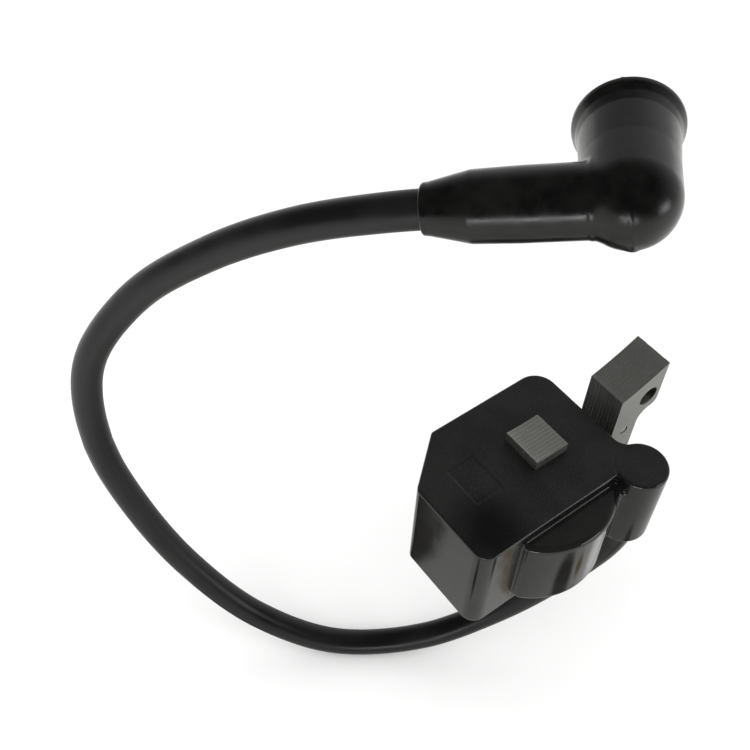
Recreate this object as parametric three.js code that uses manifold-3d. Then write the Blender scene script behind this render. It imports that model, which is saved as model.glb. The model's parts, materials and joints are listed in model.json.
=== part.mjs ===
// Flywheel ignition coil of a small air-cooled engine: a potted coil housing on a U-shaped laminated
// core, with a moulded high-tension lead and an elbow boot for the spark plug.
//
// Millimetres. X runs across the two core legs towards the outer leg, Y through the stack towards
// the engine, Z along the legs towards the flywheel. The pieces are laid out from the centre of the
// housing's top face. The outer group then moves them so that the origin is on the core's seat
// face, on the outer leg's centre line and midway between the two mounting holes.

import * as THREE from 'three';
import { mergeVertices } from 'three/addons/utils/BufferGeometryUtils.js';
import Module from 'manifold-3d';

const wasm = await Module();
wasm.setup();

// ---------------------------------------------------------------- driving dimensions

const GAP = 0.3; // assembly clearance between neighbouring pieces

// coil housing, seen from the flywheel
const HALF_X = 22.9;
const HALF_Y = 16.7;
const HEIGHT = 28.2;
const WALL = 1.6;
const ROOF = 2.0;
const CHAMFER_X = -10.3; // the far left corner is cut from here on the far wall
const CHAMFER_Y = 6.2; // to here on the left wall
const FAR_RADIUS = 5.4;
const NEAR_RADIUS = 3.6;
// bulge of the near wall over the capacitor: a circle, cut off flat on its left
const CROWN = { x: 2.3, y: -5.9, radius: 18.4, left: -11.5, top: -3.4, bottom: -25.0 };
const TOWER = { x: 22.6, y: -18.0, radius: 6.3, bore: 3.9, bottom: -23.0, roof: 2.5, fillet: 3.4 };
const SLOT = { width: 3.0, reach: 7.7, bottom: -6.0 }; // opening from the tower's bore to the windings
const RECESS = { x0: -14.5, x1: -7.1, y0: -4.4, y1: 6.0, depth: 0.4 };

// laminated core
const PLATES = 11;
const PLATE_THICK = 0.9;
const PLATE_PITCH = 0.93;
const STACK = PLATE_PITCH * (PLATES - 1) + PLATE_THICK;
const POLE = { x0: 1.9, x1: 11.4 };
const LEG = { inner: 28.0, neck: 36.5, outer: 41.9 };
const YOKE_TOP = -HEIGHT - 0.5;
const YOKE_HEIGHT = 9.5;
const YOKE_BOTTOM = YOKE_TOP - YOKE_HEIGHT;
const ARC = { x: 9.0, z: 77.4, radius: 75.0 }; // both pole faces lie on this circle around the flywheel
const BOLT = { x: 37.9, upper: 0.5, lower: -33.5, radius: 2.7, ear: 4.9, bend: 4.4 };
const RIVET_RADIUS = 1.2;
const RIVETS = [[6.7, -33.5], [21.0, -33.5], [32.4, -8.6]];

// high-tension lead
const LEAD_RADIUS = 3.5;
const LEAD_BORE = 1.3;
const CONDUCTOR_RADIUS = 0.8;
const LEAD_TOP = -6.5; // upper end of the lead inside the tower
const PIVOT = new THREE.Vector3(-70.5, 66.5, -12.0); // where the lead is taken to bend
const PIVOT_GAP = 1.0; // each half of the lead ends this far from the pivot

// elbow boot: the lead enters along BARREL, and the mouth opens along MOUTH, 91.5 degrees from it
const LIP = new THREE.Vector3(-23.2, 12.6, 76.0);
const BARREL = new THREE.Vector3(0.6745, -0.6998, 0.2353).normalize();
const MOUTH = new THREE.Vector3(0.708, 0.707, -0.042).normalize();
const BOOT = {
  lip: 4.4, barrel: 6.3, taper: 8.3, elbow: 33.75, ball: 8.2, leadStop: 6.0,
  head: 8.2, flange: 9.75, flangeThick: 2.9, rim: 20.7, leadBore: 3.8, plugBore: 5.6, floor: -3.5,
};
const SPRING = { radius: 3.8, firstRadius: 1.6, wire: 0.45, turns: 4, pitch: 2.2, leg: 8.4 };

const SEAT = new THREE.Vector3((LEG.inner + LEG.neck) / 2, STACK / 2, (BOLT.upper + BOLT.lower) / 2);

// ---------------------------------------------------------------- materials

function material(color, roughness, metalness) {
  return new THREE.MeshStandardMaterial({ color, roughness, metalness });
}

const housingPlastic = material(0x17181a, 0.35, 0.0);
const resin = material(0x1d1a17, 0.5, 0.0);
const coreSteel = material(0x77776f, 0.5, 0.85);
const rivetSteel = material(0x8a8a84, 0.4, 0.9);
const bobbinPlastic = material(0xd9d2bd, 0.55, 0.0);
const copper = material(0xa85a2a, 0.35, 0.9);
const board = material(0x2f5a34, 0.6, 0.0);
const chipPlastic = material(0x202022, 0.6, 0.0);
const resistorPaint = material(0x5f86a0, 0.5, 0.0);
const capacitorPaint = material(0xb5652b, 0.45, 0.0);
const brass = material(0xb08d3c, 0.35, 0.9);
const leadJacket = material(0x151516, 0.45, 0.0);
const bootRubber = material(0x111112, 0.5, 0.0);
const springSteel = material(0xb5b6b8, 0.3, 1.0);

// ---------------------------------------------------------------- geometry helpers

// The triangles whose three corners are still different points after merging.
function wholeTriangles(index) {
  const kept = [];
  for (let i = 0; i < index.length; i += 3) {
    const [a, b, c] = index.slice(i, i + 3);
    if (a !== b && b !== c && a !== c) {
      kept.push(a, b, c);
    }
  }
  return kept;
}

function solid(geometry) {
  const bare = geometry.clone();
  bare.deleteAttribute('normal');
  bare.deleteAttribute('uv');
  const merged = mergeVertices(bare, 1e-4);
  const vertProperties = Float32Array.from(merged.attributes.position.array);
  const triVerts = Uint32Array.from(wholeTriangles(merged.index.array));
  return new wasm.Manifold(new wasm.Mesh({ numProp: 3, vertProperties, triVerts }));
}

function geometryOf(manifold) {
  const { vertProperties, triVerts } = manifold.getMesh();
  const geometry = new THREE.BufferGeometry();
  geometry.setAttribute('position', new THREE.BufferAttribute(vertProperties, 3));
  geometry.setIndex(new THREE.BufferAttribute(triVerts, 1));
  geometry.computeVertexNormals();
  return geometry;
}

// A flat shape in X and Y, filled from z0 up to z1.
function slab(shape, z0, z1, curveSegments = 6) {
  const geometry = new THREE.ExtrudeGeometry(shape, { depth: z1 - z0, bevelEnabled: false, curveSegments });
  return geometry.translate(0, 0, z0);
}

function block(x0, x1, y0, y1, z0, z1) {
  const geometry = new THREE.BoxGeometry(x1 - x0, y1 - y0, z1 - z0);
  return geometry.translate((x0 + x1) / 2, (y0 + y1) / 2, (z0 + z1) / 2);
}

function rod(radius, x, y, z0, z1, sides = 32) {
  const geometry = new THREE.CylinderGeometry(radius, radius, z1 - z0, sides);
  return geometry.rotateX(Math.PI / 2).translate(x, y, (z0 + z1) / 2);
}

// A rectangle with equal rounded corners, centred on x, y.
function roundedRectangle(x, y, halfX, halfY, radius, path = new THREE.Shape()) {
  path.absarc(x + halfX - radius, y + halfY - radius, radius, 0, Math.PI / 2);
  path.absarc(x - halfX + radius, y + halfY - radius, radius, Math.PI / 2, Math.PI);
  path.absarc(x - halfX + radius, y - halfY + radius, radius, Math.PI, Math.PI * 1.5);
  path.absarc(x + halfX - radius, y - halfY + radius, radius, Math.PI * 1.5, Math.PI * 2);
  path.closePath();
  return path;
}

// A solid of revolution around Z from [radius, z] points that start and end on the axis.
function turned(points, sides = 20) {
  const profile = points.map(([radius, z]) => new THREE.Vector2(radius, z));
  return new THREE.LatheGeometry(profile, sides).rotateX(Math.PI / 2);
}

// Part of a longer curve, between two fractions of its length.
class Stretch extends THREE.Curve {
  constructor(whole, from, to) {
    super();
    this.whole = whole;
    this.from = from;
    this.to = to;
  }

  getPoint(t, target = new THREE.Vector3()) {
    return target.copy(this.whole.getPointAt(this.from + (this.to - this.from) * t));
  }
}

function regularPolygon(radius, sides) {
  return Array.from({ length: sides }, (_, i) => {
    const angle = (i / sides) * Math.PI * 2;
    return new THREE.Vector2(radius * Math.cos(angle), radius * Math.sin(angle));
  });
}

// A round bar along a curve, with a six-sided bore where bore is more than 0.
function rodAlong(curve, radius, bore, sides, steps) {
  const shape = new THREE.Shape(regularPolygon(radius, sides));
  if (bore > 0) {
    shape.holes.push(new THREE.Path(regularPolygon(bore, 6).reverse()));
  }
  return new THREE.ExtrudeGeometry(shape, { extrudePath: curve, steps, bevelEnabled: false });
}

function named(name, geometry, surface) {
  const mesh = new THREE.Mesh(geometry, surface);
  mesh.name = name;
  return mesh;
}

// ---------------------------------------------------------------- housing and potting

// The housing's outline, moved inwards by inset.
function housingOutline(inset) {
  const x = HALF_X - inset;
  const y = HALF_Y - inset;
  const farTurn = Math.atan2(HALF_Y - CHAMFER_Y, CHAMFER_X + HALF_X);
  const leftTurn = Math.PI / 2 - farTurn;
  const near = NEAR_RADIUS - inset;
  const far = FAR_RADIUS - inset;
  const shape = new THREE.Shape();
  shape.moveTo(x, -y);
  shape.lineTo(x, y - far);
  shape.absarc(x - far, y - far, far, 0, Math.PI / 2);
  shape.lineTo(CHAMFER_X + inset * Math.tan(farTurn / 2), y);
  shape.lineTo(-x, CHAMFER_Y - inset * Math.tan(leftTurn / 2));
  shape.lineTo(-x, near - y);
  shape.absarc(near - x, near - y, near, Math.PI, Math.PI * 1.5);
  shape.closePath();
  return shape;
}

// The bulge of the near wall: an arc from its flat left side to the wall, reaching back into the housing.
function crownOutline(inset) {
  const radius = CROWN.radius - inset;
  const down = Math.PI * 1.5;
  const leftTurn = Math.asin((CROWN.x - CROWN.left - inset) / radius);
  const rightTurn = Math.acos((HALF_Y + CROWN.y - inset) / radius);
  const shape = new THREE.Shape();
  shape.absarc(CROWN.x, CROWN.y, radius, down - leftTurn, down + rightTurn);
  shape.lineTo(CROWN.x + radius * Math.sin(rightTurn), CROWN.y);
  shape.lineTo(CROWN.left + inset, CROWN.y);
  shape.closePath();
  return shape;
}

// Web between the right wall and the tower, with one concave arc that is tangent to both.
function towerWeb() {
  const centreX = HALF_X + TOWER.fillet;
  const reach = TOWER.radius + TOWER.fillet;
  const centreY = TOWER.y + Math.sqrt(reach ** 2 - (centreX - TOWER.x) ** 2);
  const towards = Math.atan2(TOWER.y - centreY, TOWER.x - centreX);
  const shape = new THREE.Shape();
  shape.moveTo(HALF_X - WALL, centreY);
  shape.lineTo(HALF_X - WALL, TOWER.y);
  shape.absarc(centreX, centreY, TOWER.fillet, towards, -Math.PI, true);
  shape.closePath();
  return shape;
}

function sleeveHalf() {
  return { x: (POLE.x1 - POLE.x0) / 2 + GAP, y: STACK / 2 + GAP };
}

const POLE_X = (POLE.x0 + POLE.x1) / 2;
const SLEEVE_WALL = 1.2;

function sleeveBlock(grow, z0, z1) {
  const half = sleeveHalf();
  return block(POLE_X - half.x - grow, POLE_X + half.x + grow, -half.y - grow, half.y + grow, z0, z1);
}

function housing() {
  const bottom = -HEIGHT;
  const below = bottom - 1;
  const shell = solid(slab(housingOutline(0), bottom, 0))
    .add(solid(slab(crownOutline(0), CROWN.bottom, CROWN.top, 14)))
    .add(solid(rod(TOWER.radius, TOWER.x, TOWER.y, TOWER.bottom, 0)))
    .add(solid(slab(towerWeb(), TOWER.bottom, 0)));
  const cavity = solid(slab(housingOutline(WALL), below, -ROOF))
    .add(solid(slab(crownOutline(WALL), CROWN.bottom + WALL, CROWN.top - WALL, 14)))
    .subtract(solid(sleeveBlock(SLEEVE_WALL, below, 0)))
    .subtract(solid(rod(TOWER.radius, TOWER.x, TOWER.y, below, 0)));
  const { x0, x1, y0, y1, depth } = RECESS;
  const piece = shell
    .subtract(cavity)
    .subtract(solid(sleeveBlock(0, below, 1)))
    .subtract(solid(rod(TOWER.bore, TOWER.x, TOWER.y, below, -TOWER.roof)))
    .subtract(solid(towerSpoke(0, SLOT.reach, SLOT.width, SLOT.bottom, -TOWER.roof)))
    .subtract(solid(block(x0, x1, y0, y1, -depth, 1)));
  return named('coil_housing', geometryOf(piece), housingPlastic);
}

const POTTING = { z0: -HEIGHT + 0.2, z1: -25.0 };
const STOP_BLADE = { x: -14.0, y: 2.0, thick: 0.8, width: 4.8, z0: -36.0, z1: -21.0 };
const GROUND_TAB = { x: 16.0, y: 0, thick: 0.6, width: 4.0, z0: YOKE_TOP + 0.1, z1: -24.8 };

function bladeBlock({ x, y, thick, width, z0, z1 }, grow = 0) {
  return block(
    x - thick / 2 - grow, x + thick / 2 + grow,
    y - width / 2 - grow, y + width / 2 + grow,
    z0 - grow, z1 + grow,
  );
}

function potting() {
  const { z0, z1 } = POTTING;
  const piece = solid(slab(housingOutline(WALL + GAP), z0, z1))
    .subtract(solid(sleeveBlock(SLEEVE_WALL + GAP, z0 - 1, z1 + 1)))
    .subtract(solid(rod(TOWER.radius + GAP, TOWER.x, TOWER.y, z0 - 1, z1 + 1)))
    .subtract(solid(bladeBlock(STOP_BLADE, GAP)))
    .subtract(solid(bladeBlock(GROUND_TAB, GAP)));
  return named('potting_resin', geometryOf(piece), resin);
}

// ---------------------------------------------------------------- core

function arcHeight(x) {
  return ARC.z - Math.sqrt(ARC.radius ** 2 - (x - ARC.x) ** 2);
}

function poleFace(shape, from, to, pieces) {
  for (let i = 0; i <= pieces; i += 1) {
    const x = from + ((to - from) * i) / pieces;
    shape.lineTo(x, arcHeight(x));
  }
}

// One lamination in X and Z: centre leg, yoke, and outer leg with an ear at each end.
function laminationShape() {
  const corner = 2.0;
  const middle = (BOLT.upper + BOLT.lower) / 2;
  const earEnd = BOLT.upper - BOLT.ear - middle; // from the middle of the leg to where an ear starts
  const neckEnd = earEnd - BOLT.bend; // and to where the straight neck ends
  const shape = new THREE.Shape();
  shape.moveTo(POLE.x0, YOKE_BOTTOM + corner);
  poleFace(shape, POLE.x0, POLE.x1, 4);
  shape.lineTo(POLE.x1, YOKE_TOP);
  shape.lineTo(LEG.inner, YOKE_TOP);
  poleFace(shape, LEG.inner, LEG.outer, 5);
  shape.lineTo(LEG.outer, middle + earEnd + corner);
  shape.quadraticCurveTo(LEG.outer, middle + earEnd, LEG.outer - corner, middle + earEnd);
  shape.quadraticCurveTo(LEG.neck, middle + earEnd - 0.6, LEG.neck, middle + neckEnd);
  shape.lineTo(LEG.neck, middle - neckEnd);
  shape.quadraticCurveTo(LEG.neck, middle - earEnd + 0.6, LEG.outer - corner, middle - earEnd);
  shape.quadraticCurveTo(LEG.outer, middle - earEnd, LEG.outer, middle - earEnd - corner);
  shape.lineTo(LEG.outer, YOKE_BOTTOM + corner);
  shape.quadraticCurveTo(LEG.outer, YOKE_BOTTOM, LEG.outer - corner, YOKE_BOTTOM);
  shape.lineTo(POLE.x0 + corner, YOKE_BOTTOM);
  shape.quadraticCurveTo(POLE.x0, YOKE_BOTTOM, POLE.x0, YOKE_BOTTOM + corner);
  return shape;
}

function laminations() {
  const plate = solid(slab(laminationShape(), 0, PLATE_THICK, 3));
  const bore = (radius, x, z, sides) => solid(rod(radius, x, z, -1, PLATE_THICK + 1, sides));
  const bores = [
    bore(BOLT.radius, BOLT.x, BOLT.upper, 16),
    bore(BOLT.radius, BOLT.x, BOLT.lower, 16),
    ...RIVETS.map(([x, z]) => bore(RIVET_RADIUS + 0.1, x, z, 8)),
  ];
  const punched = geometryOf(bores.reduce((piece, hole) => piece.subtract(hole), plate));
  punched.rotateX(Math.PI / 2);
  return Array.from({ length: PLATES }, (_, i) => {
    const plateMesh = named(`core_lamination_${String(i + 1).padStart(2, '0')}`, punched, coreSteel);
    plateMesh.position.y = -STACK / 2 + PLATE_PITCH * i + PLATE_THICK;
    return plateMesh;
  });
}

function rivets() {
  const length = STACK - 0.2;
  return RIVETS.map(([x, z], i) => {
    const geometry = new THREE.CylinderGeometry(RIVET_RADIUS, RIVET_RADIUS, length, 8);
    return named(`core_rivet_${i + 1}`, geometry.translate(x, 0, z), rivetSteel);
  });
}

// ---------------------------------------------------------------- windings

const COIL_TOP = -ROOF - 0.6;
const COIL_BOTTOM = POTTING.z1 + 0.6;
const PRIMARY = { tube: 0.8, flange: 0.8, depth: 2.8, corner: 2.2 };
const SECONDARY = { tube: 0.7, flange: 0.7, edge: 8.3, corner: 5.5, sections: 4 };

// A rounded rectangle around the centre leg, grown from the core sleeve.
function aroundLeg(grow, radius, path) {
  const half = sleeveHalf();
  return roundedRectangle(POLE_X, 0, half.x + grow, half.y + grow, radius, path);
}

function winding(inner, outer, radius, { z0, z1 }) {
  const shape = aroundLeg(outer, radius);
  shape.holes.push(aroundLeg(inner, 1.0, new THREE.Path()));
  return slab(shape, z0, z1, 3);
}

// A bobbin tube with equally spaced flanges; returns the bobbin and the slots between its flanges.
// inner and edge are how far its tube and flanges stand off the core sleeve.
function bobbin(inner, edge, { tube, flange, corner }, count) {
  const pitch = (COIL_TOP - COIL_BOTTOM - flange) / (count - 1);
  let piece = solid(slab(aroundLeg(inner + tube, 1.5), COIL_BOTTOM, COIL_TOP, 3));
  for (let i = 0; i < count; i += 1) {
    const z = COIL_BOTTOM + pitch * i;
    piece = piece.add(solid(slab(aroundLeg(edge, corner), z, z + flange, 3)));
  }
  piece = piece.subtract(solid(slab(aroundLeg(inner, 1.0), COIL_BOTTOM - 1, COIL_TOP + 1, 3)));
  const slots = Array.from({ length: count - 1 }, (_, i) => ({
    z0: COIL_BOTTOM + pitch * i + flange + GAP,
    z1: COIL_BOTTOM + pitch * (i + 1) - GAP,
  }));
  return { geometry: geometryOf(piece), slots };
}

// The wire in one slot, clear of the bobbin's tube and set back from its flanges.
function wireIn(slot, inner, edge, { tube, corner }, setBack) {
  return winding(inner + tube + GAP, edge - setBack, corner - setBack, slot);
}

function windings() {
  const primaryInner = SLEEVE_WALL + GAP;
  const primaryEdge = primaryInner + PRIMARY.depth;
  const secondaryInner = primaryEdge + GAP;
  const primary = bobbin(primaryInner, primaryEdge, PRIMARY, 2);
  const secondary = bobbin(secondaryInner, SECONDARY.edge, SECONDARY, SECONDARY.sections + 1);
  const primaryCoil = wireIn(primary.slots[0], primaryInner, primaryEdge, PRIMARY, 0.2);
  const sections = secondary.slots.map((slot, i) => {
    const coil = wireIn(slot, secondaryInner, SECONDARY.edge, SECONDARY, 0.6);
    return named(`secondary_winding_${i + 1}`, coil, copper);
  });
  return [
    named('primary_bobbin', primary.geometry, bobbinPlastic),
    named('primary_winding', primaryCoil, copper),
    named('secondary_bobbin', secondary.geometry, bobbinPlastic),
    ...sections,
  ];
}

// ---------------------------------------------------------------- electronics

const BOARD = { face: -11.0, thick: 1.6, y0: -13.0, y1: 12.0, z0: -24.3, z1: -3.5 };
const CAPACITOR = { x: CROWN.x, y: -17.8, halfX: 7.1, halfY: 2.5, corner: 1.6, z0: -21.0, z1: -7.0 };

// A flat-backed component on the board's left face.
function onBoard(depth, y0, y1, z0, z1) {
  const back = BOARD.face - GAP;
  return block(back - depth, back, y0, y1, z0, z1);
}

// A round component that stands against the board's left face.
function againstBoard(radius, y, z0, z1) {
  return rod(radius, BOARD.face - GAP - radius, y, z0, z1, 12);
}

function electronics() {
  const plate = block(BOARD.face, BOARD.face + BOARD.thick, BOARD.y0, BOARD.y1, BOARD.z0, BOARD.z1);
  const { x, y, halfX, halfY, corner, z0, z1 } = CAPACITOR;
  const capacitor = slab(roundedRectangle(x, y, halfX, halfY, corner), z0, z1, 3);
  return [
    named('trigger_board', plate, board),
    named('ignition_thyristor', onBoard(3.0, -9.5, -1.5, -16.0, -5.0), chipPlastic),
    named('trigger_chip', onBoard(1.6, 5.5, 9.5, -20.0, -15.0), chipPlastic),
    named('trigger_resistor', againstBoard(1.2, 1.2, -12.5, -6.0), resistorPaint),
    named('bleed_resistor', againstBoard(1.2, 4.8, -12.5, -6.0), resistorPaint),
    named('rectifier_diode', againstBoard(1.35, -7.0, -23.5, -18.5), chipPlastic),
    named('storage_capacitor', capacitor, capacitorPaint),
    named('stop_terminal', bladeBlock(STOP_BLADE), brass),
    named('ground_tab', bladeBlock(GROUND_TAB), brass),
  ];
}

// A bar that runs from the tower's axis towards the windings, from one distance to another.
function towerSpoke(from, to, width, z0, z1) {
  const spoke = block(-to, -from, -width / 2, width / 2, z0, z1);
  return spoke.rotateZ(-Math.PI / 4).translate(TOWER.x, TOWER.y, 0);
}

const SPIKE = { pin: 0.6, shoulder: -11.5, point: -13.0, head: 2.2, headThick: 1.0 };
const LINK = { from: 2.6, to: 6.6, width: 1.4, thick: 0.6 };

function towerContact() {
  const { pin, shoulder, point, head, headThick } = SPIKE;
  const top = -TOWER.roof - GAP;
  const bottom = top - headThick;
  const spike = turned([[0, point], [pin, shoulder], [pin, bottom], [head, bottom], [head, top], [0, top]], 12);
  const link = towerSpoke(LINK.from, LINK.to, LINK.width, bottom, bottom + LINK.thick);
  return [
    named('lead_spike', spike.translate(TOWER.x, TOWER.y, 0), brass),
    named('output_link', link, brass),
  ];
}

// ---------------------------------------------------------------- lead

function leadPath() {
  const { x, y } = TOWER;
  const along = (distance) => LIP.clone().addScaledVector(BARREL, distance);
  return new THREE.CatmullRomCurve3([
    new THREE.Vector3(x, y, LEAD_TOP),
    new THREE.Vector3(x, y, -24),
    new THREE.Vector3(x, y, -30),
    new THREE.Vector3(15.5, -11.8, -51.3),
    new THREE.Vector3(3.7, -2.9, -71.4),
    new THREE.Vector3(-13.2, 7.7, -84.8),
    new THREE.Vector3(-33.2, 21.7, -86.8),
    new THREE.Vector3(-49, 36, -75.5),
    new THREE.Vector3(-60, 49, -57),
    new THREE.Vector3(-67, 59, -35.5),
    PIVOT,
    new THREE.Vector3(-67.5, 68.5, 12),
    new THREE.Vector3(-57, 61.5, 33),
    new THREE.Vector3(-45.6, 47.8, 50.3),
    new THREE.Vector3(-34.7, 31.2, 64.7),
    LIP,
    along(4),
    along(BOOT.elbow - BOOT.leadStop),
  ]);
}

// The fraction of the curve's length at which it comes closest to a point.
function fractionNear(curve, point, samples = 2000) {
  let best = { fraction: 0, distance: Infinity };
  for (let i = 0; i <= samples; i += 1) {
    const fraction = i / samples;
    const distance = curve.getPointAt(fraction).distanceTo(point);
    if (distance < best.distance) {
      best = { fraction, distance };
    }
  }
  return best.fraction;
}

function lead() {
  const path = leadPath();
  path.arcLengthDivisions = 2000;
  const length = path.getLength();
  const bend = fractionNear(path, PIVOT);
  const conductorStart = 7.5 / length; // clear of the spike's point
  const conductorEnd = 1 - 3.0 / length;
  const split = PIVOT_GAP / length;
  const root = new Stretch(path, 0, bend - split);
  const end = new Stretch(path, bend + split, 1);
  const rootCore = new Stretch(path, conductorStart, bend - split);
  const endCore = new Stretch(path, bend + split, conductorEnd);
  return {
    root: [
      named('lead_jacket_root', rodAlong(root, LEAD_RADIUS, LEAD_BORE, 14, 30), leadJacket),
      named('lead_core_root', rodAlong(rootCore, CONDUCTOR_RADIUS, 0, 6, 30), copper),
    ],
    end: [
      named('lead_jacket_end', rodAlong(end, LEAD_RADIUS, LEAD_BORE, 14, 21), leadJacket),
      named('lead_core_end', rodAlong(endCore, CONDUCTOR_RADIUS, 0, 6, 21), copper),
    ],
  };
}

// ---------------------------------------------------------------- boot

// Turns a geometry made along +Z to run along a direction from a point.
function aimed(geometry, from, direction) {
  const turn = new THREE.Quaternion().setFromUnitVectors(new THREE.Vector3(0, 0, 1), direction);
  return geometry.applyQuaternion(turn).translate(from.x, from.y, from.z);
}

function elbowCentre() {
  return LIP.clone().addScaledVector(BARREL, BOOT.elbow);
}

function boot() {
  const centre = elbowCentre();
  const { lip, barrel, taper, elbow, ball, head, flange, flangeThick, rim, leadBore, plugBore, floor } = BOOT;
  const barrelOuter = turned([
    [0, 0], [lip, 0], [barrel - 0.2, taper], [barrel, taper * 2], [barrel, elbow], [0, elbow],
  ]);
  const headOuter = turned([
    [0, 0], [head, 0], [head, rim - flangeThick - 0.5], [flange, rim - flangeThick + 0.5],
    [flange, rim - 0.4], [flange - 0.4, rim], [0, rim],
  ]);
  const mouthBore = turned([
    [0, floor], [plugBore - 1.0, floor], [plugBore, floor + 1.0],
    [plugBore, rim - 2.0], [plugBore + 1.6, rim + 0.1], [0, rim + 0.1],
  ]);
  const piece = solid(aimed(barrelOuter, LIP, BARREL))
    .add(solid(new THREE.SphereGeometry(ball, 20, 12).translate(centre.x, centre.y, centre.z)))
    .add(solid(aimed(headOuter, centre, MOUTH)))
    .subtract(solid(aimed(turned([[0, -1], [leadBore, -1], [leadBore, elbow], [0, elbow]], 20), LIP, BARREL)))
    .subtract(solid(aimed(mouthBore, centre, MOUTH)));
  return named('plug_boot', geometryOf(piece), bootRubber);
}

// A conical spring in the mouth. Its inner end turns onto the barrel's axis and runs into the lead.
function plugSpring() {
  const { radius, firstRadius, wire, turns, pitch, leg } = SPRING;
  const across = new THREE.Vector3().crossVectors(MOUTH, BARREL).normalize();
  const centre = elbowCentre();
  const place = (forward, sideways, outwards) => centre.clone()
    .addScaledVector(BARREL, forward)
    .addScaledVector(across, sideways)
    .addScaledVector(MOUTH, outwards);
  const points = [place(-leg, 0, 0), place(-leg / 2, 0, 0), place(-2, 0, 0), place(0, firstRadius / 2, 0)];
  const perTurn = 10;
  for (let i = 1; i <= turns * perTurn; i += 1) {
    const angle = (i / perTurn) * Math.PI * 2;
    const reach = Math.min(radius, firstRadius + i * 0.2);
    points.push(place(reach * Math.sin(angle), reach * Math.cos(angle), (pitch * i) / perTurn));
  }
  const wirePath = new THREE.CatmullRomCurve3(points);
  return named('plug_spring', rodAlong(wirePath, wire, 0, 6, points.length), springSteel);
}

// ---------------------------------------------------------------- assembly

const { root: leadRoot, end: leadEnd } = lead();
const coil = new THREE.Group();
coil.position.copy(SEAT).negate();
coil.add(
  housing(),
  potting(),
  ...laminations(),
  ...rivets(),
  ...windings(),
  ...electronics(),
  ...towerContact(),
  ...leadRoot,
  ...leadEnd,
  boot(),
  plugSpring(),
);

const part = new THREE.Group();
part.add(coil);

export default part;
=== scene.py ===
"""Looks of a flywheel ignition coil: potted housing, laminated core, high-tension lead and elbow boot.

Shapes are worked out in millimetres and placed in the frame, which is in metres. A moulded shape is
a distance field, negative inside, that a net of quads is drawn over.
"""

import json
import math

import bpy
import numpy as np
from mathutils import Matrix, Vector


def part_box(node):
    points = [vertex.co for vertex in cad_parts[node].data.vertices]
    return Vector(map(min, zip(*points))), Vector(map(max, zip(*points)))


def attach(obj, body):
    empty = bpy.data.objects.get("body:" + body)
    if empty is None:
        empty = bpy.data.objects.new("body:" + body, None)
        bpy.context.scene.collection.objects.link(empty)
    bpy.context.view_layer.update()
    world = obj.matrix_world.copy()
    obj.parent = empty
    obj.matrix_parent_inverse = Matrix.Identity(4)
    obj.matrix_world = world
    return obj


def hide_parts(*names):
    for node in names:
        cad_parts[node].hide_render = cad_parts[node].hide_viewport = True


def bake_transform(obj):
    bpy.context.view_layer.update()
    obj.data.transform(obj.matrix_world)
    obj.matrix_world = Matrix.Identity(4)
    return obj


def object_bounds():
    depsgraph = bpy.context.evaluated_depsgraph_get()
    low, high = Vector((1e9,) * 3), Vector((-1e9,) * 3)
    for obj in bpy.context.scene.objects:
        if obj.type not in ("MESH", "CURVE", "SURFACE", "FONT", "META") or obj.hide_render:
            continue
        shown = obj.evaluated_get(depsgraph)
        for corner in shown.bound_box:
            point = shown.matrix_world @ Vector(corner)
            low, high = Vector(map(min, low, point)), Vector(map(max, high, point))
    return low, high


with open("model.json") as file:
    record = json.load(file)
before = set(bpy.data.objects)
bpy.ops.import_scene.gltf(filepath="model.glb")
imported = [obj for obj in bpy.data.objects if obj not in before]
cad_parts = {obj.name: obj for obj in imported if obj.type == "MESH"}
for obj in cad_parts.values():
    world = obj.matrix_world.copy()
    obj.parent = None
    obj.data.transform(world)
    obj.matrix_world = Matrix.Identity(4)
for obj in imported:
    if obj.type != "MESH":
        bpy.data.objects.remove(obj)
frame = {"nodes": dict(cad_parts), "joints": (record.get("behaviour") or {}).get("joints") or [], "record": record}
cad_low, cad_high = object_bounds()

MM = 0.001

# ---------------------------------------------------------------- driving dimensions, in mm

# housing, measured from the middle of its top face
HALF_X, HALF_Y, HEIGHT = 22.9, 16.7, 28.2
WALL, ROOF = 1.6, 2.0
CORNERS = [
    (-HALF_X, -HALF_Y, 3.6),
    (HALF_X, -HALF_Y, 0.5),
    (HALF_X, HALF_Y, 5.4),
    (-10.3, HALF_Y, 1.2),
    (-HALF_X, 6.2, 2.4),
]
TOP_EDGE, INNER_EDGE = 0.6, 0.4

# the bulge on the near wall and the lead's tower beside it
CROWN_X, CROWN_Y, CROWN_RADIUS = 2.3, -5.9, 18.4
CROWN_LEFT, CROWN_TOP, CROWN_BOTTOM = -11.5, -3.4, -25.0
CROWN_EDGE, CROWN_CORNER = 1.3, 1.2
TOWER_X, TOWER_Y, TOWER_RADIUS = 22.6, -18.0, 6.3
TOWER_BOTTOM, TOWER_ROOF = -23.0, 2.5
TOWER_FILLET, GROOVE_FILLET = 3.4, 3.0
TOWER_SEAM = {"height": 0.07, "width": 0.28, "reach": 0.5}
FUNNEL = {"width": 1.4, "depth": 1.2, "gap": 0.1}

# gaps about the pole: to the plates, to the sleeve's outside and to the potting
SLOT_GAP, SLEEVE_GAP, POTTING_GAP = 0.06, 1.5, 1.45
RECESS = {"x": -10.8, "y": 0.8, "half_x": 3.7, "half_y": 5.2, "depth": 0.16}
POTTING_TOP, POTTING_BITE = -25.0, 0.02
MENISCUS = {"rise": 0.7, "width": 0.8, "level": 0.9}

# how softly the housing's shapes meet
HOUSE_SOFT = {"crown": 0.3, "funnel": 0.3, "slot": 0.12, "recess": 0.2, "end": 0.1}

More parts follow.
